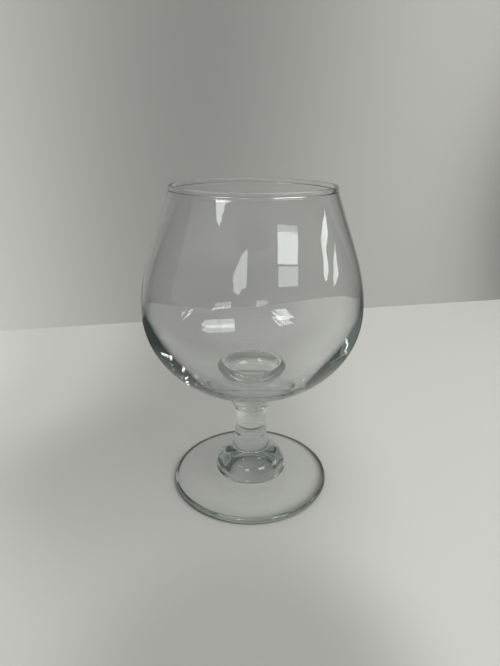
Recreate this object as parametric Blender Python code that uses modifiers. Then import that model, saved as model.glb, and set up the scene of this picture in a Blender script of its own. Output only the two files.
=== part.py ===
"""Stemmed brandy glass: a blown bowl, a short stem and a pressed foot, fused end to end.

Every piece is turned about +Z. The origin is the middle of the ring that the foot stands on.
"""
import bpy
from math import acos, asin, cos, hypot, pi, radians, sin, sqrt

# Driving dimensions, in metres. Heights of a piece are measured from its own lower end.
FUSE_GAP = 0.0003              # clearance left between two fused faces
SEAM_ROUND = 0.0004            # softened edge round a fused face
SIDES = 64                     # facets round the axis

FOOT_RADIUS = 0.0343           # disc, outermost
FOOT_EDGE = 0.0032             # thickness of the disc's full-round edge
FOOT_THICKNESS = 0.0063        # disc where the bell stands on it
FOOT_HEIGHT = 0.0258           # table to the seam in the stem
BELL_RADIUS = 0.0152           # widest part of the bell, an upright dome
BELL_FILLET = 0.0013           # hollow round between the bell and the disc
BELL_TOP = 0.0170              # height of the crease between the neck and the bell
NECK_RADIUS = 0.0082           # neck at that crease
SEAM_RADIUS = 0.0069           # neck at the seam, a little wider than the stem
HOLLOW_RADIUS = 0.0270         # shallow hollow under the disc
HOLLOW_DEPTH = 0.0012

STEM_LENGTH = 0.0120           # seam to the bowl
STEM_END_RADIUS = 0.0065       # stem at the seam
STEM_WAIST_RADIUS = 0.0064
STEM_WAIST_HEIGHT = 0.0038     # above the seam
STEM_TOP_RADIUS = 0.0084       # stem and bowl where they are fused

BOWL_HEIGHT = 0.0916           # top of the stem to the rim
RIM_RADIUS = 0.0320            # rim bead, outermost
RIM_BEAD = 0.0019              # diameter of the fire-polished bead
RIM_WALL = 0.00125             # wall just under the bead
BELLY_RADIUS = 0.0445
BELLY_HEIGHT = 0.0436          # widest part above the stem's top
BELLY_WALL = 0.0010
HOLLOW_BELLY_HEIGHT = 0.0452   # widest part of the inside
UNDERSIDE_HEIGHT = 0.0058      # where the belly's ellipse would reach the axis
UNDERSIDE_RADIUS = 0.0148      # where the stem's flare runs into the belly
FLOOR_HEIGHT = 0.0126          # inner floor at the foot of the well's collar
COLLAR_RISE = 0.0023           # collar round the well, above that floor
COLLAR_RUN = 0.0027            # from the collar's top out to the floor
WELL_RADIUS = 0.0124           # round well pressed into the inner floor
WELL_DEPTH = 0.0093            # below the collar's top
WELL_LIP = 0.0008              # rounded edge of the well

# Slopes and pulls that shape the curves between those sizes
RIM_LEAN = 0.344               # wall's run inwards per rise under the rim
STEM_FLARE = 0.62              # stem's run outwards per rise where the bowl is fused on
NECK_FLARE = 0.30              # neck's run outwards per drop where it meets the bell
FLOOR_LEAN = 0.15              # inner floor's rise per run outwards
RIM_PULL = 0.50                # how long the upper wall stays straight
BELLY_PULL = 0.31              # how long the belly stays upright above its widest part
FLOOR_PULL = 0.36              # how long the inner floor stays straight
SIDE_PULL = 0.32               # how long the inner wall stays upright below the belly
FLARE_PULL = 0.38              # stiffness of the flares along the stem
WALL_SHARE = 0.58              # drop from the bead's middle to the plain wall, per bead diameter
BEAD_OPENING = radians(50)     # half of the bead's arc that the wall takes up

CLEAR_GLASS = (0.93, 0.97, 0.955, 1.0)
THICK_GLASS = (0.86, 0.93, 0.905, 1.0)


def along(start, slope, length):
    """Point reached from start going length along the direction slope = (dr, dz)."""
    size = hypot(*slope)
    return (start[0] + slope[0] / size * length, start[1] + slope[1] / size * length)


def curve(start, start_slope, start_pull, end, end_slope, end_pull, steps):
    """Cubic curve that leaves start and reaches end along the given slopes."""
    span = hypot(end[0] - start[0], end[1] - start[1])
    first = along(start, start_slope, start_pull * span)
    second = along(end, end_slope, -end_pull * span)
    points = []
    for i in range(steps + 1):
        t = i / steps
        weights = ((1 - t) ** 3, 3 * (1 - t) ** 2 * t, 3 * (1 - t) * t ** 2, t ** 3)
        corners = (start, first, second, end)
        points.append(tuple(sum(w * c[k] for w, c in zip(weights, corners)) for k in (0, 1)))
    return points


def arc(centre, radius_r, radius_z, begin, end, steps):
    """Points of an elliptical arc, angles measured from the outward direction."""
    points = []
    for i in range(steps + 1):
        angle = begin + (end - begin) * i / steps
        points.append((centre[0] + radius_r * cos(angle), centre[1] + radius_z * sin(angle)))
    return points


def joined(*runs):
    """One profile from several runs, each shared point kept once."""
    points = []
    for run in runs:
        for point in run:
            if not points or hypot(point[0] - points[-1][0], point[1] - points[-1][1]) > 1e-6:
                points.append(point)
    return points


def glass(name, colour):
    """Clear soda-lime glass."""
    material = bpy.data.materials.new(name)
    material.use_nodes = True
    shader = material.node_tree.nodes["Principled BSDF"]
    shader.inputs["Base Color"].default_value = colour
    shader.inputs["Roughness"].default_value = 0.02
    shader.inputs["Metallic"].default_value = 0.0
    shader.inputs["IOR"].default_value = 1.52
    shader.inputs["Transmission Weight"].default_value = 1.0
    return material


def turned(name, profile, height, colour):
    """Solid turned about +Z from a profile that starts and ends on the axis."""
    mesh = bpy.data.meshes.new(name)
    corners = [(r, 0.0, z) for r, z in profile]
    edges = [(i, i + 1) for i in range(len(corners) - 1)]
    mesh.from_pydata(corners, edges, [])
    piece = bpy.data.objects.new(name, mesh)
    piece.location.z = height
    piece.parent = stand
    mesh.materials.append(glass(name + "_glass", colour))
    screw = piece.modifiers.new("turn", "SCREW")
    screw.axis = "Z"
    screw.angle = 2 * pi
    screw.steps = SIDES
    screw.render_steps = SIDES
    screw.use_merge_vertices = True
    screw.merge_threshold = 0.00001
    screw.use_smooth_shade = True
    collection.objects.link(piece)
    return piece


def foot_profile():
    """Neck stub, bell and disc, down the outside and back to the axis under the hollow."""
    end_face = [(0.0, FOOT_HEIGHT)]
    end_edge = arc((SEAM_RADIUS - SEAM_ROUND, FOOT_HEIGHT - SEAM_ROUND),
                   SEAM_ROUND, SEAM_ROUND, pi / 2, 0, 2)
    neck = curve(end_edge[-1], (0, -1), FLARE_PULL, (NECK_RADIUS, BELL_TOP), (NECK_FLARE, -1), FLARE_PULL, 5)
    # The bell is an upright dome that meets the neck in a crease and the disc in a hollow round.
    bell_height = FOOT_THICKNESS + BELL_FILLET
    crease = acos(NECK_RADIUS / BELL_RADIUS)
    bell = arc((0.0, bell_height), BELL_RADIUS, (BELL_TOP - bell_height) / sin(crease), crease, 0, 8)
    fillet = arc((BELL_RADIUS + BELL_FILLET, bell_height), BELL_FILLET, BELL_FILLET, pi, 1.5 * pi, 4)
    edge_centre = (FOOT_RADIUS - FOOT_EDGE / 2, FOOT_EDGE / 2)
    edge = arc(edge_centre, FOOT_EDGE / 2, FOOT_EDGE / 2, pi / 2, -pi / 2, 8)
    # The hollow is a shallow ball-shaped cap whose edge lies on the standing ring.
    ball = (HOLLOW_RADIUS ** 2 + HOLLOW_DEPTH ** 2) / (2 * HOLLOW_DEPTH)
    reach = asin(HOLLOW_RADIUS / ball)
    hollow = arc((0.0, HOLLOW_DEPTH - ball), ball, ball, pi / 2 - reach, pi / 2, 4)
    hollow[-1] = (0.0, HOLLOW_DEPTH)
    return joined(end_face, end_edge, neck, bell, fillet, edge, hollow)


def stem_profile():
    """Short waisted stem between two fused faces."""
    top_edge = (STEM_TOP_RADIUS, STEM_LENGTH)
    waist = (STEM_WAIST_RADIUS, STEM_WAIST_HEIGHT)
    upper = curve(top_edge, (-STEM_FLARE, -1), FLARE_PULL, waist, (0, -1), FLARE_PULL, 6)
    end_edge = arc((STEM_END_RADIUS - SEAM_ROUND, SEAM_ROUND), SEAM_ROUND, SEAM_ROUND, 0, -pi / 2, 2)
    lower = curve(waist, (0, -1), FLARE_PULL, end_edge[0], (0, -1), FLARE_PULL, 3)
    return joined([(0.0, STEM_LENGTH)], upper, lower, end_edge, [(0.0, 0.0)])


def bowl_profile():
    """Well, collar, floor and inner wall up to the rim, over the bead and down the outside."""
    collar_top = FLOOR_HEIGHT + COLLAR_RISE
    ball = (WELL_RADIUS ** 2 + WELL_DEPTH ** 2) / (2 * WELL_DEPTH)
    ball_height = collar_top - WELL_DEPTH + ball
    # The lip's circle touches the collar's level top from below and the ball-shaped well from outside.
    lip_height = collar_top - WELL_LIP
    lip_radius = sqrt((ball + WELL_LIP) ** 2 - (ball_height - lip_height) ** 2)
    lip_angle = acos(lip_radius / (ball + WELL_LIP))
    well = arc((0.0, ball_height), ball, ball, -pi / 2, -lip_angle, 7)
    well[0] = (0.0, collar_top - WELL_DEPTH)
    lip = arc((lip_radius, lip_height), WELL_LIP, WELL_LIP, pi - lip_angle, pi / 2, 3)
    floor_edge = (lip_radius + COLLAR_RUN, FLOOR_HEIGHT)
    collar = curve(lip[-1], (1, 0), FLARE_PULL, floor_edge, (1, FLOOR_LEAN), FLARE_PULL, 4)
    inner_belly = (BELLY_RADIUS - BELLY_WALL, HOLLOW_BELLY_HEIGHT)
    inner_low = curve(floor_edge, (1, FLOOR_LEAN), FLOOR_PULL, inner_belly, (0, 1), SIDE_PULL, 12)
    bead_centre = (RIM_RADIUS - RIM_BEAD / 2, BOWL_HEIGHT - RIM_BEAD / 2)
    # The wall's middle line leans into the middle of the bead.
    wall_drop = RIM_BEAD * WALL_SHARE
    wall_middle = bead_centre[0] + RIM_LEAN * wall_drop
    inner_rim = (wall_middle - RIM_WALL / 2, bead_centre[1] - wall_drop)
    outer_rim = (wall_middle + RIM_WALL / 2, bead_centre[1] - wall_drop)
    inner_high = curve(inner_belly, (0, 1), BELLY_PULL, inner_rim, (-RIM_LEAN, 1), RIM_PULL, 7)
    bead = arc(bead_centre, RIM_BEAD / 2, RIM_BEAD / 2, pi + BEAD_OPENING, -BEAD_OPENING, 8)
    outer_belly = (BELLY_RADIUS, BELLY_HEIGHT)
    outer_high = curve(outer_rim, (RIM_LEAN, -1), RIM_PULL, outer_belly, (0, -1), BELLY_PULL, 7)
    belly_drop = BELLY_HEIGHT - UNDERSIDE_HEIGHT
    turn = acos(UNDERSIDE_RADIUS / BELLY_RADIUS)
    outer_low = arc((0.0, BELLY_HEIGHT), BELLY_RADIUS, belly_drop, 0, -turn, 9)
    underside_run = (-BELLY_RADIUS * sin(turn), -belly_drop * cos(turn))
    flare = curve(outer_low[-1], underside_run, FLARE_PULL,
                  (STEM_TOP_RADIUS, 0.0), (-STEM_FLARE, -1), FLARE_PULL, 5)
    return joined(well, lip, collar, inner_low, inner_high, bead, outer_high, outer_low, flare, [(0.0, 0.0)])


for old in list(bpy.data.objects):
    bpy.data.objects.remove(old, do_unlink=True)

collection = bpy.data.collections.new("brandy_glass")
bpy.context.scene.collection.children.link(collection)
stand = bpy.data.objects.new("standing_point", None)
collection.objects.link(stand)

STEM_BASE = FOOT_HEIGHT + FUSE_GAP
BOWL_BASE = STEM_BASE + STEM_LENGTH + FUSE_GAP
turned("foot", foot_profile(), 0.0, THICK_GLASS)
turned("stem", stem_profile(), STEM_BASE, THICK_GLASS)
turned("bowl", bowl_profile(), BOWL_BASE, CLEAR_GLASS)
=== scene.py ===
from math import acos, asin, cos, hypot, pi, radians, sin, sqrt

import bmesh
import bpy
from mathutils import Matrix, Vector


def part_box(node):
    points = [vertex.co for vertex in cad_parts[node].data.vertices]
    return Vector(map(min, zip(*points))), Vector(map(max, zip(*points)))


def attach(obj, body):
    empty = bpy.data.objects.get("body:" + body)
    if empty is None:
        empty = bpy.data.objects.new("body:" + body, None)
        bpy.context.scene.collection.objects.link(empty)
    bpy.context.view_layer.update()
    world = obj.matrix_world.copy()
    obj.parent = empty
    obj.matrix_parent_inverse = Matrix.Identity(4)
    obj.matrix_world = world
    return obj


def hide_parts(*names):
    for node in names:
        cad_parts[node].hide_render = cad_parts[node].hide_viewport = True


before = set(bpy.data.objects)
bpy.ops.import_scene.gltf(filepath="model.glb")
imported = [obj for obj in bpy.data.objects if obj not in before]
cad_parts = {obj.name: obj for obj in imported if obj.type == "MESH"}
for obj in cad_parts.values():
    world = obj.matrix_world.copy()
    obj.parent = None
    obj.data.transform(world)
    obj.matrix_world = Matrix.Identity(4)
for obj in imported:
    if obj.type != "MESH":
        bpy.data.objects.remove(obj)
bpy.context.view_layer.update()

# Foot: one pressing of clear soda-lime glass, with a flat round disc, a bell standing on it and the stub
# of the stem above. Its edge and the table side of its rim are fire-polished round. The stub's flat top
# is melted onto the stem.
FOOT_EDGE = 0.0032             # thickness of the full-round edge of the disc
FOOT_THICKNESS = 0.0063        # disc where the bell stands on it
BELL_RADIUS = 0.0152           # widest part of the bell, an upright dome
BELL_FILLET = 0.0013           # hollow round between the bell and the disc
BELL_TOP = 0.0170              # height of the crease between the neck and the bell
NECK_RADIUS = 0.0082           # neck at that crease
SEAM_RADIUS = 0.0069           # neck at the seam, a little wider than the stem
SEAM_ROUND = 0.0004            # softened edges at the seam
FUSED_RADIUS = 0.0061          # melted part of the stub's flat top
HOLLOW_RADIUS = 0.0270         # shallow hollow under the disc
HOLLOW_DEPTH = 0.0012
NECK_FLARE = 0.30              # neck's run outwards per drop where it meets the bell
FLARE_PULL = 0.38              # stiffness of the flares along the stem
SIDES = 192                    # facets round the axis
MELT_GAP = 0.00001             # hairline left between two fused faces, so that the pieces stay apart
SAME_PLACE = 1e-7              # closer than this, two points are one
CLEAR_TINT = (1.0, 1.0, 1.0, 1.0)
GREEN_TINT = (0.74, 0.80, 0.775, 1.0)
GREEN_DENSITY = 20.0           # absorption per metre of glass
GLASS_INDEX = 1.52             # how strongly the glass bends light
FUSED_INDEX = 1.0              # no bending where two pieces are melted into one
SKIN_RELIEF = 0.00002          # height of the rings and waves at full strength


def along(start, slope, length):
    """Point reached from start going length along the direction slope = (dr, dz)."""
    size = hypot(*slope)
    return (start[0] + slope[0] / size * length, start[1] + slope[1] / size * length)


def curve(start, start_slope, start_pull, end, end_slope, end_pull, steps):
    """Cubic curve that leaves start and reaches end along the given slopes."""
    span = hypot(end[0] - start[0], end[1] - start[1])
    first = along(start, start_slope, start_pull * span)
    second = along(end, end_slope, -end_pull * span)
    points = []
    for i in range(steps + 1):
        t = i / steps
        weights = ((1 - t) ** 3, 3 * (1 - t) ** 2 * t, 3 * (1 - t) * t ** 2, t ** 3)
        corners = (start, first, second, end)
        points.append(tuple(sum(w * c[k] for w, c in zip(weights, corners)) for k in (0, 1)))
    return points


def arc(centre, radius_r, radius_z, begin, end, steps):
    """Points of an elliptical arc, angles measured from the outward direction."""
    points = []
    for i in range(steps + 1):
        angle = begin + (end - begin) * i / steps
        points.append((centre[0] + radius_r * cos(angle), centre[1] + radius_z * sin(angle)))
    return points


def straight(start, end, steps):
    """Points along a straight run."""
    return [tuple(a + (b - a) * i / steps for a, b in zip(start, end)) for i in range(steps + 1)]


def ball_radius(radius, depth):
    """Radius of the ball that presses a round hollow of this radius and depth."""
    return (radius ** 2 + depth ** 2) / (2 * depth)


def joined(*runs):
    """One profile from several runs, each shared point kept once."""
    points = []
    for run in runs:
        for point in run:
            if not points or hypot(point[0] - points[-1][0], point[1] - points[-1][1]) > SAME_PLACE:
                points.append(point)
    return points


def put_in_scene(thing):
    """Link a new object to the scene."""
    bpy.context.scene.collection.objects.link(thing)


def turned(name, profile, fused_faces):
    """Turned mesh, closed where both ends of its profile are on the axis. Level faces in a fused disc,
    given as (height, radius), carry fused = 1."""
    shape = bmesh.new()
    fused = shape.faces.layers.float.new("fused")
    rings = []
    for r, z in profile:
        if r < SAME_PLACE:
            rings.append([shape.verts.new((0.0, 0.0, z))])
        else:
            angles = [2 * pi * k / SIDES for k in range(SIDES)]
            rings.append([shape.verts.new((r * cos(a), r * sin(a), z)) for a in angles])
    for upper, lower in zip(rings, rings[1:]):
        for k in range(SIDES):
            corners = [upper[k % len(upper)], lower[k % len(lower)],
                       lower[(k + 1) % len(lower)], upper[(k + 1) % len(upper)]]
            face = shape.faces.new(list(dict.fromkeys(corners)))
            face.smooth = True
            level = max(v.co.z for v in corners) - min(v.co.z for v in corners) < SAME_PLACE
            centre = face.calc_center_median()
            melted = any(abs(centre.z - height) < SAME_PLACE and hypot(centre.x, centre.y) < radius
                         for height, radius in fused_faces)
            face[fused] = float(level and melted)
    mesh = bpy.data.meshes.new(name)
    shape.to_mesh(mesh)
    shape.free()
    piece = bpy.data.objects.new(name, mesh)
    put_in_scene(piece)
    return piece


def node(tree, kind, inputs=None, **settings):
    """New shader node with its settings, and its inputs set or linked."""
    made = tree.nodes.new(kind)
    for name, value in settings.items():
        setattr(made, name, value)
    for name, value in (inputs or {}).items():
        if isinstance(value, bpy.types.NodeSocket):
            tree.links.new(value, made.inputs[name])
        else:
            made.inputs[name].default_value = value
    return made


def reckoned(tree, operation, *values, **settings):
    """Result of one step of arithmetic on numbers and sockets."""
    return node(tree, "ShaderNodeMath", dict(enumerate(values)), operation=operation, **settings).outputs[0]


def bare_material(name):
    """New material with an empty node tree."""
    material = bpy.data.materials.new(name)
    material.use_nodes = True
    material.node_tree.nodes.clear()
    return material


def glass_skin():
    """Shader group: the faint rings and waves that hot glass keeps, and the film that handling leaves."""
    group = bpy.data.node_groups.new("glass_skin", "ShaderNodeTree")
    for name in ("Ring Scale", "Ring Height", "Wave Scale", "Wave Height", "Film"):
        group.interface.new_socket(name, in_out="INPUT", socket_type="NodeSocketFloat")
    for name in ("Height", "Roughness"):
        group.interface.new_socket(name, in_out="OUTPUT", socket_type="NodeSocketFloat")
    given = node(group, "NodeGroupInput").outputs
    place = node(group, "ShaderNodeTexCoord").outputs["Object"]
    # Rings: noise that hardly changes round the axis.
    flat = node(group, "ShaderNodeMapping", {"Vector": place, "Scale": (0.04, 0.04, 1.0)})
    rings = node(group, "ShaderNodeTexNoise", {"Vector": flat.outputs["Vector"],
                                               "Scale": given["Ring Scale"],
                                               "Detail": 2.0, "Roughness": 0.5})
    waves = node(group, "ShaderNodeTexNoise", {"Vector": place, "Scale": given["Wave Scale"],
                                               "Detail": 1.0, "Roughness": 0.4})
    height = reckoned(group, "ADD", reckoned(group, "MULTIPLY", rings.outputs["Fac"], given["Ring Height"]),
                      reckoned(group, "MULTIPLY", waves.outputs["Fac"], given["Wave Height"]))
    smears = node(group, "ShaderNodeTexNoise", {"Vector": place, "Scale": 35.0, "Detail": 6.0,
                                                "Roughness": 0.65, "Distortion": 0.8})
    film = node(group, "ShaderNodeMapRange", {"Value": smears.outputs["Fac"], "From Min": 0.55,
                                              "From Max": 0.8, "To Min": 0.0, "To Max": given["Film"]})
    node(group, "NodeGroupOutput", {"Height": height, "Roughness": film.outputs["Result"]})
    return group


skin = glass_skin()


def clear_glass(name, rings, ring_scale, waves, wave_scale, film):
    """Clear glass that goes greenish where it is thick, without a surface where two pieces are fused."""
    material = bare_material(name)
    tree = material.node_tree
    surface = node(tree, "ShaderNodeGroup", {"Ring Scale": ring_scale, "Ring Height": rings,
                                             "Wave Scale": wave_scale, "Wave Height": waves,
                                             "Film": film}, node_tree=skin)
    fused = node(tree, "ShaderNodeAttribute", attribute_name="fused").outputs["Fac"]
    bump = node(tree, "ShaderNodeBump", {"Height": surface.outputs["Height"], "Strength": 1.0,
                                         "Distance": SKIN_RELIEF})
    bend = node(tree, "ShaderNodeMapRange", {"Value": fused, "To Min": GLASS_INDEX, "To Max": FUSED_INDEX})
    shader = node(tree, "ShaderNodeBsdfPrincipled", {
        "Base Color": CLEAR_TINT, "Metallic": 0.0, "Roughness": surface.outputs["Roughness"],
        "IOR": bend.outputs["Result"], "Transmission Weight": 1.0, "Normal": bump.outputs["Normal"]})
    body = node(tree, "ShaderNodeVolumeAbsorption", {"Color": GREEN_TINT, "Density": GREEN_DENSITY})
    node(tree, "ShaderNodeOutputMaterial", {"Surface": shader.outputs["BSDF"],
                                            "Volume": body.outputs["Volume"]})
    return material


_, foot_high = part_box("foot")
stem_low, stem_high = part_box("stem")
seam_height = (foot_high.z + stem_low.z) / 2
foot_top = seam_height - MELT_GAP / 2


def foot_edge():
    """Full-round edge of the disc, from its upper side to the table side."""
    edge_round = FOOT_EDGE / 2
    return arc((foot_high.x - edge_round, edge_round), edge_round, edge_round, pi / 2, -pi / 2, steps=28)


def foot_profile():
    """Neck stub, bell and disc, down the outside and back to the axis under the hollow."""
    ledge = SEAM_RADIUS - SEAM_ROUND
    end_face = straight((0.0, foot_top), (FUSED_RADIUS, foot_top), steps=4)
    end_edge = arc((ledge, foot_top - SEAM_ROUND), SEAM_ROUND, SEAM_ROUND, pi / 2, 0, steps=6)
    neck = curve(end_edge[-1], (0, -1), FLARE_PULL,
                 (NECK_RADIUS, BELL_TOP), (NECK_FLARE, -1), FLARE_PULL, steps=24)
    bell_height = FOOT_THICKNESS + BELL_FILLET
    crease = acos(NECK_RADIUS / BELL_RADIUS)
    bell_rise = (BELL_TOP - bell_height) / sin(crease)
    bell = arc((0.0, bell_height), BELL_RADIUS, bell_rise, crease, 0, steps=32)
    fillet = arc((BELL_RADIUS + BELL_FILLET, bell_height), BELL_FILLET, BELL_FILLET, pi, 1.5 * pi, steps=10)
    edge = foot_edge()
    disc = straight(fillet[-1], edge[0], steps=14)
    ball = ball_radius(HOLLOW_RADIUS, HOLLOW_DEPTH)
    reach = asin(HOLLOW_RADIUS / ball)
    hollow = arc((0.0, HOLLOW_DEPTH - ball), ball, ball, pi / 2 - reach, pi / 2, steps=16)
    hollow[-1] = (0.0, HOLLOW_DEPTH)
    return joined(end_face, end_edge, neck, bell, fillet, disc, edge, hollow)


foot = turned("pressed_foot", foot_profile(), [(foot_top, FUSED_RADIUS)])
foot.data.materials.append(clear_glass("foot_glass_skin", rings=0.6, ring_scale=450.0,
                                       waves=1.2, wave_scale=70.0, film=0.03))
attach(foot, "root")
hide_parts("foot")

# Stem: a short gather of the same clear glass, drawn to a waist. It is melted onto the foot's stub at the
# seam half-way down and onto the underside of the bowl at its flared top.
STEM_END_RADIUS = 0.0065       # stem at the seam
STEM_WAIST_RADIUS = 0.0064
STEM_WAIST_HEIGHT = 0.0038     # above the seam
STEM_TOP_RADIUS = 0.0084       # stem and bowl where they are fused
STEM_FLARE = 0.62              # stem's run outwards per rise where the bowl is fused on

bowl_low, bowl_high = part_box("bowl")
join_height = (stem_high.z + bowl_low.z) / 2
stem_end = seam_height + MELT_GAP / 2
stem_top = join_height - MELT_GAP / 2


def stem_profile():
    """Short waisted stem between two fused faces."""
    top_face = straight((0.0, stem_top), (STEM_TOP_RADIUS, stem_top), steps=4)
    waist = (STEM_WAIST_RADIUS, stem_end + STEM_WAIST_HEIGHT)
    upper = curve(top_face[-1], (-STEM_FLARE, -1), FLARE_PULL, waist, (0, -1), FLARE_PULL, steps=30)
    edge_radius = STEM_END_RADIUS - SEAM_ROUND
    end_edge = arc((edge_radius, stem_end + SEAM_ROUND), SEAM_ROUND, SEAM_ROUND, 0, -pi / 2, steps=6)
    lower = curve(waist, (0, -1), FLARE_PULL, end_edge[0], (0, -1), FLARE_PULL, steps=12)
    end_face = straight(end_edge[-1], (0.0, stem_end), steps=4)
    return joined(top_face, upper, lower, end_edge, end_face)


stem = turned("drawn_stem", stem_profile(), [(stem_top, STEM_TOP_RADIUS), (stem_end, STEM_END_RADIUS)])
stem.data.materials.append(clear_glass("stem_glass_skin", rings=0.5, ring_scale=900.0,
                                       waves=0.4, wave_scale=90.0, film=0.02))
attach(stem, "root")
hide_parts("stem")

# Bowl: blown clear glass, thin at the upper wall and thick at the bottom, with a round well pressed into
# its inner floor. The rim is cut off hot and fire-polished to a bead. Its underside is melted to the stem.
RIM_RADIUS = 0.0320            # rim bead, outermost
RIM_BEAD = 0.0019              # diameter of the fire-polished bead
RIM_WALL = 0.00125             # wall just under the bead
BELLY_HEIGHT = 0.0436          # widest part above the stem's top
BELLY_WALL = 0.0010
HOLLOW_BELLY_HEIGHT = 0.0452   # widest part of the inside
UNDERSIDE_HEIGHT = 0.0058      # where the belly's ellipse would reach the axis
UNDERSIDE_RADIUS = 0.0148      # where the stem's flare runs into the belly
FLOOR_HEIGHT = 0.0126          # inner floor at the foot of the well's collar
COLLAR_RISE = 0.0023           # collar round the well, above that floor
COLLAR_RUN = 0.0027            # from the collar's top out to the floor
WELL_RADIUS = 0.0124           # round well pressed into the inner floor
WELL_DEPTH = 0.0093            # below the collar's top
WELL_LIP = 0.0008              # rounded edge of the well
FLOOR_LEAN = 0.15              # inner floor's rise per run outwards
FLOOR_PULL = 0.36              # how long the inner floor stays straight
SIDE_PULL = 0.32               # how long the inner wall stays upright below the belly
RIM_LEAN = 0.344               # wall's run inwards per rise under the rim
RIM_PULL = 0.50                # how long the upper wall stays straight
BELLY_PULL = 0.31              # how long the belly stays upright above its widest part
WALL_SHARE = 0.58              # drop from the bead's middle to the plain wall, per bead diameter
BEAD_OPENING = radians(50)     # half of the bead's arc that the wall takes up

bowl_base = bowl_low.z
bowl_end = join_height + MELT_GAP / 2


def bowl_profile():
    """Well, collar, floor and inner wall up to the rim, over the bead and down the outside."""
    belly_radius = bowl_high.x
    rim_height = bowl_high.z
    floor_height = bowl_base + FLOOR_HEIGHT
    collar_top = floor_height + COLLAR_RISE
    ball = ball_radius(WELL_RADIUS, WELL_DEPTH)
    ball_height = collar_top - WELL_DEPTH + ball
    # The lip's circle touches the collar's level top from below and the ball-shaped well from outside.
    lip_height = collar_top - WELL_LIP
    lip_radius = sqrt((ball + WELL_LIP) ** 2 - (ball_height - lip_height) ** 2)
    lip_angle = acos(lip_radius / (ball + WELL_LIP))
    well = arc((0.0, ball_height), ball, ball, -pi / 2, -lip_angle, steps=32)
    well[0] = (0.0, collar_top - WELL_DEPTH)
    lip = arc((lip_radius, lip_height), WELL_LIP, WELL_LIP, pi - lip_angle, pi / 2, steps=10)
    floor_edge = (lip_radius + COLLAR_RUN, floor_height)
    collar = curve(lip[-1], (1, 0), FLARE_PULL, floor_edge, (1, FLOOR_LEAN), FLARE_PULL, steps=16)
    inner_belly = (belly_radius - BELLY_WALL, bowl_base + HOLLOW_BELLY_HEIGHT)
    inner_low = curve(floor_edge, (1, FLOOR_LEAN), FLOOR_PULL, inner_belly, (0, 1), SIDE_PULL, steps=56)
    rim_radius = RIM_RADIUS - RIM_BEAD / 2
    bead_centre = (rim_radius, rim_height - RIM_BEAD / 2)
    # The wall's middle line leans into the middle of the bead.
    wall_drop = RIM_BEAD * WALL_SHARE
    wall_middle = bead_centre[0] + RIM_LEAN * wall_drop
    inner_rim = (wall_middle - RIM_WALL / 2, bead_centre[1] - wall_drop)
    outer_rim = (wall_middle + RIM_WALL / 2, bead_centre[1] - wall_drop)
    inner_high = curve(inner_belly, (0, 1), BELLY_PULL, inner_rim, (-RIM_LEAN, 1), RIM_PULL, steps=36)
    bead = arc(bead_centre, RIM_BEAD / 2, RIM_BEAD / 2, pi + BEAD_OPENING, -BEAD_OPENING, steps=24)
    # Outside, the wall has finer steps, so that what it mirrors stays whole right up to the bead.
    outer_belly = (belly_radius, bowl_base + BELLY_HEIGHT)
    outer_high = curve(outer_rim, (RIM_LEAN, -1), RIM_PULL, outer_belly, (0, -1), BELLY_PULL, steps=120)
    belly_drop = BELLY_HEIGHT - UNDERSIDE_HEIGHT
    turn = acos(UNDERSIDE_RADIUS / belly_radius)
    outer_low = arc((0.0, outer_belly[1]), belly_radius, belly_drop, 0, -turn, steps=56)
    underside_run = (-belly_radius * sin(turn), -belly_drop * cos(turn))
    flare = curve(outer_low[-1], underside_run, FLARE_PULL,
                  (STEM_TOP_RADIUS, bowl_end), (-STEM_FLARE, -1), FLARE_PULL, steps=24)
    end_face = straight(flare[-1], (0.0, bowl_end), steps=4)
    return joined(well, lip, collar, inner_low, inner_high, bead, outer_high, outer_low, flare, end_face)


bowl = turned("blown_bowl", bowl_profile(), [(bowl_end, STEM_TOP_RADIUS)])
bowl.data.materials.append(clear_glass("bowl_glass_skin", rings=0.4, ring_scale=350.0,
                                       waves=2.0, wave_scale=55.0, film=0.02))
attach(bowl, "root")
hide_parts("bowl")

# Floor and backdrop: a plain pale floor and a plain upright board behind the glass, a little turned from
# the picture plane. Both are matt paint with soft patches of painted shade and painted light. Where the
# glass mirrors them, painted shade makes them dark further off.
FLOOR_SIZE = 6.0
FLOOR_DROP = 0.0001            # air left under the standing ring
FLOOR_GREY = 0.46
FLOOR_STRETCH = (4.0, 4.0, 1.0)
BACKDROP_DISTANCE = 0.227      # from the glass's axis
BACKDROP_TURN = radians(12.4)  # its right end lies further away
BACKDROP_LEFT = 1.5            # how far it runs to either side
BACKDROP_RIGHT = 0.9
BACKDROP_HEIGHT = 1.3
BACKDROP_GREY = 0.39
BACKDROP_STRETCH = (2.0, 1.0, 1.0)
NEAR_PAINT = 0.25              # mirrored in the glass, paint has no painted shade up to this stretched distance
FAR_PAINT = 0.60               # and full painted shade from this one on
# painted shade that the far floor and backdrop take where the glass mirrors them
MIRRORED_FAR_SHADE = (0.05, 0.052, 0.05, 1.0)
PATCH_CORE = 0.75              # share of the way in from its outline where a patch has its full grey
OFF_PAINT = -99.0              # outweighs any number of mirrorings


def grey(level):
    """Matt grey with a little less blue."""
    return (level, level * 1.005, level * 0.955, 1.0)


def blended(tree, factor, first, second):
    """Colour that goes from first to second as factor goes from 0 to 1."""
    return node(tree, "ShaderNodeMix", {"Factor": factor, "A": first, "B": second},
                data_type="RGBA").outputs["Result"]


def mirrored(tree):
    """1 where light is met by way of a mirroring in the glass. 0 where it is met straight or only through
    the glass, and for the light that falls on matt paint."""
    path = node(tree, "ShaderNodeLightPath").outputs
    return reckoned(tree, "MULTIPLY_ADD", path["Is Diffuse Ray"], OFF_PAINT, path["Glossy Depth"],
                    use_clamp=True)


def sheet(name, corners, material):
    """Panel through its corners."""
    mesh = bpy.data.meshes.new(name)
    mesh.from_pydata([tuple(c) for c in corners], [], [tuple(range(len(corners)))])
    panel = bpy.data.objects.new(name, mesh)
    panel.data.materials.append(material)
    put_in_scene(panel)
    return panel


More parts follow.
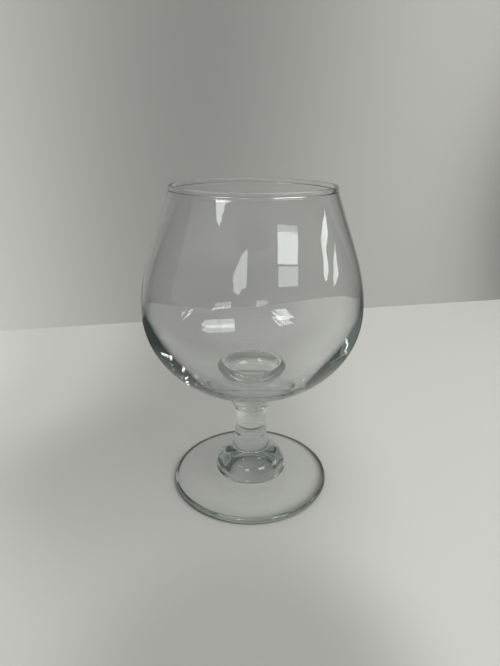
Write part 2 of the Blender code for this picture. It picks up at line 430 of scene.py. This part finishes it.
def matt(name, pale, turn, painted_patches, stretch):
    """Matt paint with soft patches of painted light and shade (grey, centre, reach) along a sheet turned
    this way. Where the glass mirrors it, painted shade darkens it with the distance from the glass, which
    is stretched along X, Y and Z."""
    material = bare_material(name)
    tree = material.node_tree
    place = node(tree, "ShaderNodeNewGeometry").outputs["Position"]
    paint = pale
    # Each patch is painted light or painted shade blended into the paint.
    for level, centre, reach in painted_patches:
        local = node(tree, "ShaderNodeMapping", {"Vector": place, "Location": centre, "Scale": reach,
                                                 "Rotation": (0.0, 0.0, turn)}, vector_type="TEXTURE")
        patch = node(tree, "ShaderNodeTexGradient", {"Vector": local.outputs["Vector"]},
                     gradient_type="SPHERICAL")
        soft = node(tree, "ShaderNodeMapRange", {"Value": patch.outputs["Fac"], "From Max": PATCH_CORE},
                    interpolation_type="SMOOTHERSTEP")
        paint = blended(tree, soft.outputs["Result"], paint, level)
    spread = node(tree, "ShaderNodeVectorMath", {0: place, 1: stretch}, operation="MULTIPLY")
    away = node(tree, "ShaderNodeVectorMath", {0: spread.outputs["Vector"]}, operation="LENGTH")
    fade = node(tree, "ShaderNodeMapRange", {"Value": away.outputs["Value"], "From Min": NEAR_PAINT,
                                             "From Max": FAR_PAINT})
    # Painted shade: where the glass mirrors the paint, it goes dark further off.
    dark = reckoned(tree, "MULTIPLY", mirrored(tree), fade.outputs["Result"], use_clamp=True)
    colour = blended(tree, dark, paint, MIRRORED_FAR_SHADE)
    speck = node(tree, "ShaderNodeTexNoise", {"Vector": place, "Scale": 900.0, "Detail": 3.0})
    bump = node(tree, "ShaderNodeBump", {"Height": speck.outputs["Fac"], "Strength": 0.1,
                                         "Distance": 0.0002})
    shader = node(tree, "ShaderNodeBsdfPrincipled", {"Base Color": colour, "Roughness": 0.75,
                                                     "Specular IOR Level": 0.2,
                                                     "Normal": bump.outputs["Normal"]})
    node(tree, "ShaderNodeOutputMaterial", {"Surface": shader.outputs["BSDF"]})
    return material


floor_painted_light_and_shade = [
    (grey(0.60), (-0.22, 0.0, 0.0), (0.10, 0.28, 1.0)),      # painted light, paler to the left
    (grey(0.30), (-0.022, 0.40, 0.0), (0.117, 0.83, 1.0)),   # painted shade, a darker strip behind the glass
    (grey(0.34), (-0.04, 0.0, 0.0), (0.12, 0.10, 1.0)),      # painted shade round the foot
    (grey(0.29), (0.0, -0.105, 0.0), (0.075, 0.09, 1.0))]    # painted shade in front of it
floor_paint = matt("floor_paint", grey(FLOOR_GREY), 0.0, floor_painted_light_and_shade, FLOOR_STRETCH)
half = FLOOR_SIZE / 2
sheet("floor", [(-half, -half, -FLOOR_DROP), (half, -half, -FLOOR_DROP), (half, half, -FLOOR_DROP),
                (-half, half, -FLOOR_DROP)], floor_paint)


def on_backdrop(run, rise):
    """Place on the backdrop, measured along it from behind the glass and up from the floor."""
    return (Vector((0, BACKDROP_DISTANCE, -FLOOR_DROP))
            + Vector((cos(BACKDROP_TURN), sin(BACKDROP_TURN), 0)) * run + Vector((0, 0, 1)) * rise)


backdrop_painted_light_and_shade = [
    (grey(0.22), on_backdrop(-0.12, 0.40), (0.31, 1.0, 0.69)),   # painted shade above the glass
    (grey(0.60), on_backdrop(-0.40, -0.40), (0.42, 1.0, 2.0)),   # painted light to the left
    (grey(0.02), on_backdrop(0.42, 0.09), (0.285, 1.0, 0.30))]   # black painted shade far to the right
backdrop_paint = matt("backdrop_paint", grey(BACKDROP_GREY), BACKDROP_TURN, backdrop_painted_light_and_shade,
                      BACKDROP_STRETCH)
sheet("backdrop", [on_backdrop(-BACKDROP_LEFT, 0.0), on_backdrop(BACKDROP_RIGHT, 0.0),
                   on_backdrop(BACKDROP_RIGHT, BACKDROP_HEIGHT),
                   on_backdrop(-BACKDROP_LEFT, BACKDROP_HEIGHT)], backdrop_paint)

# Light: one large soft lamp from the right, bright panels that only the glass mirrors, and a plain room.
# As the glass mirrors it, the room is dim, darker to the right, and has a pale ceiling.
PANEL_DISTANCE = 2.5
PANEL_CENTRE = Vector((0, 0, 0.09))
PANEL_COLOUR = (0.95, 1.0, 0.98, 1.0)
ONCE = 1.5                     # more mirrorings than this make a spark
HOLLOW_FACES = (4.0, 2.5)      # middle and spread: an image in the hollow has crossed two to six faces
OTHER_FACES = (3.0, 2.5)       # one to five faces, which the images in the walls have not crossed
LAMP_AZIMUTH = 50.0
LAMP_ELEVATION = 52.0
LAMP_DISTANCE = 2.0
LAMP_SIZE = 1.6
LAMP_POWER = 54.0
ROOM = (0.40, 0.405, 0.39, 1.0)               # seen straight or through the glass, and as it lights
MIRRORED_LEFT = (0.30, 0.31, 0.30, 1.0)       # the room's sides and ceiling as the glass mirrors them
MIRRORED_RIGHT = (0.05, 0.053, 0.052, 1.0)
MIRRORED_CEILING = (0.50, 0.51, 0.50, 1.0)
SIDE_REACH = 0.8               # X of a direction from which on a side has its own full grey
CEILING_BEGIN = 0.6            # Z of a direction at which the ceiling begins
CEILING_FULL = 0.9


def towards(azimuth, elevation):
    """Direction from the glass, azimuth from the camera's side (-Y) towards +X."""
    a = radians(azimuth)
    e = radians(elevation)
    return Vector((sin(a) * cos(e), -cos(a) * cos(e), sin(e)))


def glow(name, strength, seen):
    """Light that shows in the glass and lights nothing else. Of a light's many images only some are crisp:
    one at the front and one far back in both walls, one inside the hollow, or sparks mirrored again and
    again."""
    material = bare_material(name)
    tree = material.node_tree
    path = node(tree, "ShaderNodeLightPath").outputs
    again = reckoned(tree, "GREATER_THAN", path["Glossy Depth"], ONCE)
    if seen == "sparks":
        shown = again
    else:
        # Faces of glass crossed: none at the front, two to six in the hollow, six or more far back.
        faces = HOLLOW_FACES if seen == "hollow" else OTHER_FACES
        kept = reckoned(tree, "COMPARE", path["Transmission Depth"], *faces)
        if seen == "walls":
            kept = reckoned(tree, "SUBTRACT", 1.0, kept)
        shown = reckoned(tree, "SUBTRACT", kept, again, use_clamp=True)
    unseen = node(tree, "ShaderNodeBsdfTransparent")
    light = node(tree, "ShaderNodeEmission", {"Color": PANEL_COLOUR, "Strength": strength})
    panel = node(tree, "ShaderNodeMixShader", {0: shown, 1: unseen.outputs["BSDF"],
                                               2: light.outputs["Emission"]})
    node(tree, "ShaderNodeOutputMaterial", {"Surface": panel.outputs["Shader"]})
    material.cycles.emission_sampling = "NONE"
    return material


def light_panel(name, strength, seen, *corners):
    """Glowing panel through corners given as (azimuth, elevation) in degrees."""
    points = [PANEL_CENTRE + towards(*corner) * PANEL_DISTANCE for corner in corners]
    panel = sheet(name, points, glow(name + "_glow", strength, seen))
    panel.visible_camera = False
    panel.visible_diffuse = False
    panel.visible_shadow = False


light_panel("tall_panel_top", 4.0, "walls",
            (29.5, 28.5), (42.5, 27), (55, 25), (56, 25.3), (43.5, 27.3), (30, 28.9))
light_panel("tall_panel_middle", 9.0, "walls",
            (27, 24.5), (38.5, 23), (49.5, 21.5), (55, 25), (42.5, 27), (29.5, 28.5))
light_panel("tall_panel_foot", 5.0, "walls",
            (26, 17), (36, 16.5), (46.5, 15), (49.5, 21), (38.5, 22.5), (27.5, 24))
light_panel("draped_panel", 5.5, "walls",
            (-6, 28.5), (-6, 18), (-11, 17), (-13.5, 14), (-20.5, 16), (-18, 17), (-21, 20.5), (-19, 23.5),
            (-12.5, 27))
light_panel("left_panel", 8.0, "walls",
            (-53.5, 27.7), (-44, 29.3), (-22, 31), (-36.5, 29.6), (-40.5, 28.6), (-42, 27.7), (-48, 27.6))
light_panel("right_panel", 8.0, "walls",
            (101.5, 15.9), (96, 17), (84.5, 18), (82.5, 15.5), (78.5, 13), (79, 10.5), (81, 10), (86.5, 12),
            (89, 15.5), (98.5, 15))
light_panel("far_right_panel", 6.0, "walls",
            (105, 11.5), (96, 11.5), (90, 8.5), (88.5, 5.5), (97, 6.5), (100, 7.5), (101, 10))
light_panel("high_left_panel", 9.0, "hollow", (-30, 44), (-48, 36), (-70, 42), (-52, 53))
light_panel("ceiling_panel", 6.5, "hollow",
            (93, 42), (79, 42), (60, 49), (34, 55), (45, 66), (70, 60), (88, 50))
light_panel("spark_panel", 5.0, "sparks", (76, 30), (90, 30), (90, 34), (76, 34))
light_panel("thin_spark_panel", 5.0, "sparks", (92, 29), (95, 29), (95, 31), (92, 31))
light_panel("low_spark_panel", 4.0, "sparks", (104, 20), (107, 20), (107, 24), (104, 24))
light_panel("left_spark_panel", 3.0, "sparks", (-79, 22), (-77, 22), (-77, 36), (-79, 36))

lamp = bpy.data.objects.new("soft_lamp", bpy.data.lights.new("soft_lamp", "AREA"))
lamp.data.shape = "SQUARE"
lamp.data.size = LAMP_SIZE
lamp.data.energy = LAMP_POWER
lamp_way = towards(LAMP_AZIMUTH, LAMP_ELEVATION)
lamp.location = PANEL_CENTRE + lamp_way * LAMP_DISTANCE
lamp.rotation_euler = (-lamp_way).to_track_quat("-Z", "Y").to_euler()
lamp.visible_camera = False
lamp.visible_glossy = False
lamp.visible_transmission = False
put_in_scene(lamp)

world = bpy.data.worlds.new("room")
bpy.context.scene.world = world
world.use_nodes = True
room = world.node_tree
room.nodes.clear()
direction = node(room, "ShaderNodeTexCoord").outputs["Generated"]
parts = node(room, "ShaderNodeSeparateXYZ", {"Vector": direction}).outputs
sideways = node(room, "ShaderNodeMapRange", {"Value": parts["X"], "From Min": -SIDE_REACH,
                                             "From Max": SIDE_REACH}, interpolation_type="SMOOTHSTEP")
upwards = node(room, "ShaderNodeMapRange", {"Value": parts["Z"], "From Min": CEILING_BEGIN,
                                            "From Max": CEILING_FULL}, interpolation_type="SMOOTHSTEP")
sides = blended(room, sideways.outputs["Result"], MIRRORED_LEFT, MIRRORED_RIGHT)
mirrored_room = blended(room, upwards.outputs["Result"], sides, MIRRORED_CEILING)
back = node(room, "ShaderNodeBackground", {"Color": blended(room, mirrored(room), ROOM, mirrored_room),
                                           "Strength": 1.0})
node(room, "ShaderNodeOutputWorld", {"Surface": back.outputs["Background"]})

# Shadow: clear glass lets most of the light through face on and throws a shadow with its edges. Unseen
# copies of the pieces give that shadow, and a copy of the foot's edge dims more of the room's light. The
# pieces themselves throw none.
SHADE_BEGIN = 0.4              # how far a face is turned away before it shades more
FACE_CLEAR = 0.97              # share of the light that passes face on
EDGE_CLEAR = 0.1               # share that passes edge on
FOOT_EDGE_CLEAR = (0.15, 0.15, 0.15, 1.0)


def let_through(material, share):
    """Finish a material that only dims the light that passes."""
    through = node(material.node_tree, "ShaderNodeBsdfTransparent", {"Color": share})
    node(material.node_tree, "ShaderNodeOutputMaterial", {"Surface": through.outputs["BSDF"]})


shadow_glass = bare_material("shadow_glass")
edge_on = node(shadow_glass.node_tree, "ShaderNodeLayerWeight", {"Blend": 0.5}).outputs["Facing"]
dimmed = node(shadow_glass.node_tree, "ShaderNodeMapRange", {
    "Value": edge_on, "From Min": SHADE_BEGIN, "From Max": 1.0, "To Min": FACE_CLEAR, "To Max": EDGE_CLEAR})
let_through(shadow_glass, dimmed.outputs["Result"])
edge_shadow = bare_material("edge_shadow")
let_through(edge_shadow, FOOT_EDGE_CLEAR)
shades = [turned("foot_edge_shadow", foot_edge(), [])]
shades[0].data.materials.append(edge_shadow)
for piece in (foot, stem, bowl):
    piece.visible_shadow = False
    piece.visible_diffuse = False
    shade = bpy.data.objects.new(piece.name + "_shadow", piece.data.copy())
    shade.data.materials[0] = shadow_glass
    shade.visible_diffuse = False
    put_in_scene(shade)
    shades.append(shade)
for shade in shades:
    shade.visible_camera = False
    shade.visible_glossy = False
    shade.visible_transmission = False

# Camera: hand-held, a little above the rim and looking down at the glass. Light is followed through many
# faces of glass, without caustics, which would add grain.
CAMERA_PLACE = (-0.0008, -0.2018, 0.1473)
CAMERA_PITCH = radians(20.95)
CAMERA_ROLL = radians(0.5)
CAMERA_SENSOR = 36.0           # mm, along the picture's longer side
CAMERA_LENS = 28.0             # mm
CAMERA_NEAR = 0.01             # nothing closer than this is drawn
ALL_BOUNCES = 96
GLASS_BOUNCES = 64             # of mirrorings, and as many of bendings

camera = bpy.data.objects.new("camera", bpy.data.cameras.new("camera"))
camera.data.sensor_width = CAMERA_SENSOR
camera.data.lens = CAMERA_LENS
camera.data.clip_start = CAMERA_NEAR
camera.matrix_world = (Matrix.Translation(CAMERA_PLACE) @ Matrix.Rotation(pi / 2 - CAMERA_PITCH, 4, "X")
                       @ Matrix.Rotation(CAMERA_ROLL, 4, "Z"))
put_in_scene(camera)
scene = bpy.context.scene
scene.camera = camera
scene.view_settings.view_transform = "Standard"
scene.cycles.max_bounces = ALL_BOUNCES
scene.cycles.transmission_bounces = GLASS_BOUNCES
scene.cycles.glossy_bounces = GLASS_BOUNCES
scene.cycles.caustics_reflective = False
scene.cycles.caustics_refractive = False
